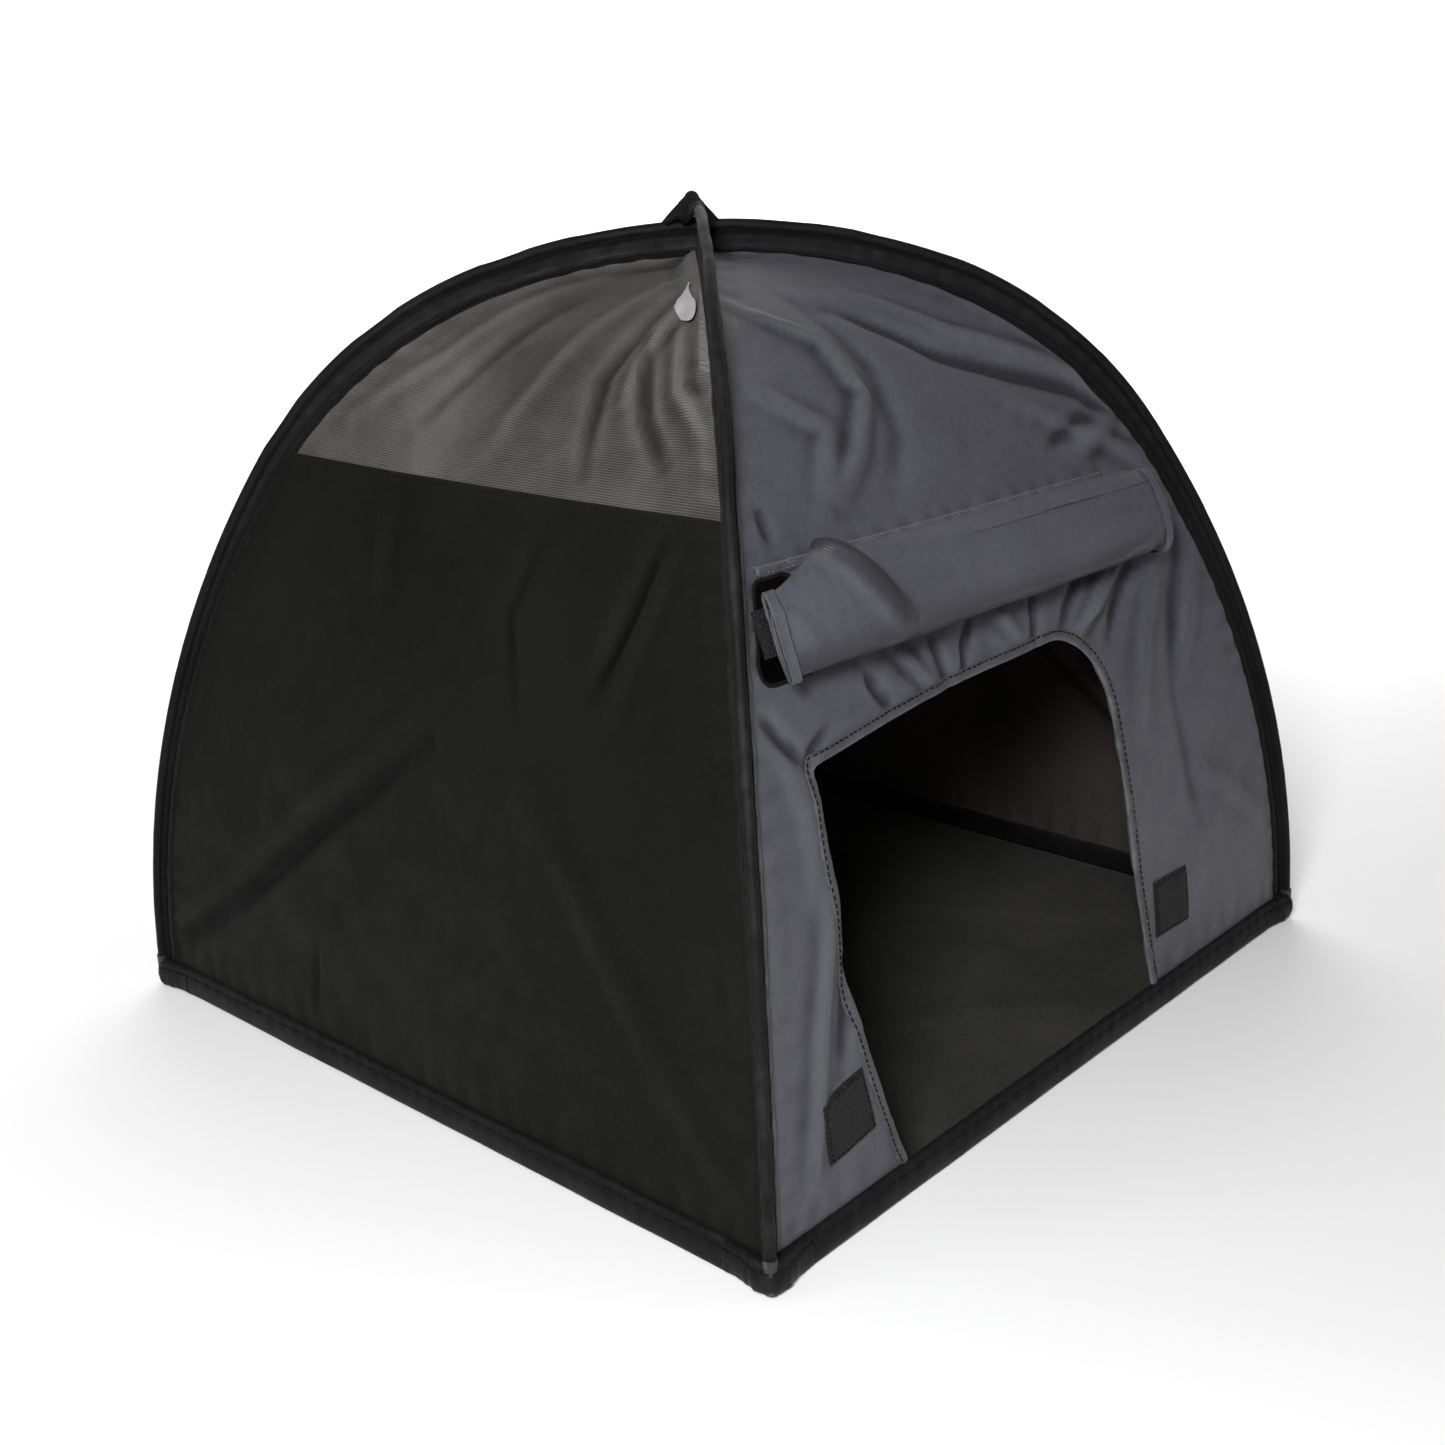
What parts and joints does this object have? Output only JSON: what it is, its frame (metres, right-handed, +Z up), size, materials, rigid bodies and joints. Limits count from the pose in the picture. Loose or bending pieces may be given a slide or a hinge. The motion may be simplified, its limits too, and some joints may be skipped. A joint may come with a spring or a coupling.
{
  "type": "pop up ground blind",
  "caption": "Small square pop-up shelter: two crossed spring rods in outside sleeves, cloth walls with mesh windows, a floor and a roll-up door flap.",
  "frame": {"origin": "on the ground at the centre of the base", "axes": "+Z up, -Y out through the door wall, +X to the right as seen from outside the door"},
  "size_m": [0.4084, 0.4084, 0.3675],
  "materials": {
    "floor_cloth": "matte",
    "coated_nylon": "satin",
    "tip_plastic": "matte",
    "spring_rod": "satin",
    "mesh_net": "open weave",
    "seam_edge": "satin",
    "label_cloth": "matte",
    "hook_and_loop": "rough",
    "black_cloth": "matte"
  },
  "bodies": {
    "shelter": {"floor_sheet": "floor_cloth", "base_hem_front": "black_cloth", "base_hem_right": "black_cloth", "base_hem_back": "black_cloth", "base_hem_left": "black_cloth", "corner_pocket_front_left": "black_cloth", "corner_pocket_front_right": "black_cloth", "corner_pocket_back_right": "black_cloth", "corner_pocket_back_left": "black_cloth", "pole_tip_front_left": "tip_plastic", "pole_tip_front_right": "tip_plastic", "pole_tip_back_right": "tip_plastic", "pole_tip_back_left": "tip_plastic", "pole_rod_upper": "spring_rod", "pole_rod_lower": "spring_rod", "pole_sleeve_upper": "black_cloth", "pole_sleeve_lower": "black_cloth", "front_wall": "coated_nylon", "back_wall": "coated_nylon", "left_wall": "black_cloth", "right_wall": "black_cloth", "left_window_mesh": "mesh_net", "right_window_mesh": "mesh_net", "left_window_hem": "black_cloth", "right_window_hem": "black_cloth", "front_seam_left": "seam_edge", "front_seam_right": "seam_edge", "back_seam_left": "seam_edge", "back_seam_right": "seam_edge", "door_binding": "coated_nylon", "slot_binding": "black_cloth", "door_hook_left": "hook_and_loop", "door_hook_right": "hook_and_loop", "care_label": "label_cloth"},
    "crown": {"crown_cap": "black_cloth"},
    "door_head": {"flap_seam": "coated_nylon"},
    "flap_fold": {"flap_sheet": "coated_nylon"},
    "door_flap": {"door_roll": "coated_nylon", "roll_binding_left": "black_cloth", "roll_binding_right": "black_cloth", "flap_loop_left": "hook_and_loop", "flap_loop_right": "hook_and_loop"}
  },
  "joints": [
    {"name": "crown_press", "type": "slide", "parent": "shelter", "child": "crown", "axis": [0, 0, 1], "range_m": [-0.2776, 0], "stiffness_N_per_m": 60, "springref_m": 0.05, "deforming": ["pole_rod_upper", "pole_rod_lower", "pole_sleeve_upper", "pole_sleeve_lower", "front_wall", "back_wall", "left_wall", "right_wall", "left_window_mesh", "right_window_mesh", "left_window_hem", "right_window_hem", "front_seam_left", "front_seam_right", "back_seam_left", "back_seam_right", "door_binding", "slot_binding", "door_hook_left", "door_hook_right", "care_label"]},
    {"name": "door_head_drop", "type": "slide", "parent": "shelter", "child": "door_head", "axis": [0, 0, 1], "range_m": [-0.182, 0]},
    {"name": "flap_fold_out", "type": "hinge", "parent": "door_head", "child": "flap_fold", "pos_m": [0, -0.1463, 0.2404], "axis": [1, 0, 0], "range_deg": [-42.5, 0]},
    {"name": "door_unroll", "type": "hinge", "parent": "flap_fold", "child": "door_flap", "pos_m": [0, 0.3739, 0.0064], "axis": [1, 0, 0], "range_deg": [0, 18.5], "deforming": ["flap_sheet"]}
  ],
  "couplings": [
    {"joint": "door_head_drop", "follows": "crown_press", "ratio": 0.6524},
    {"joint": "flap_fold_out", "follows": "crown_press", "rad_per_m": 2.6406}
  ]
}
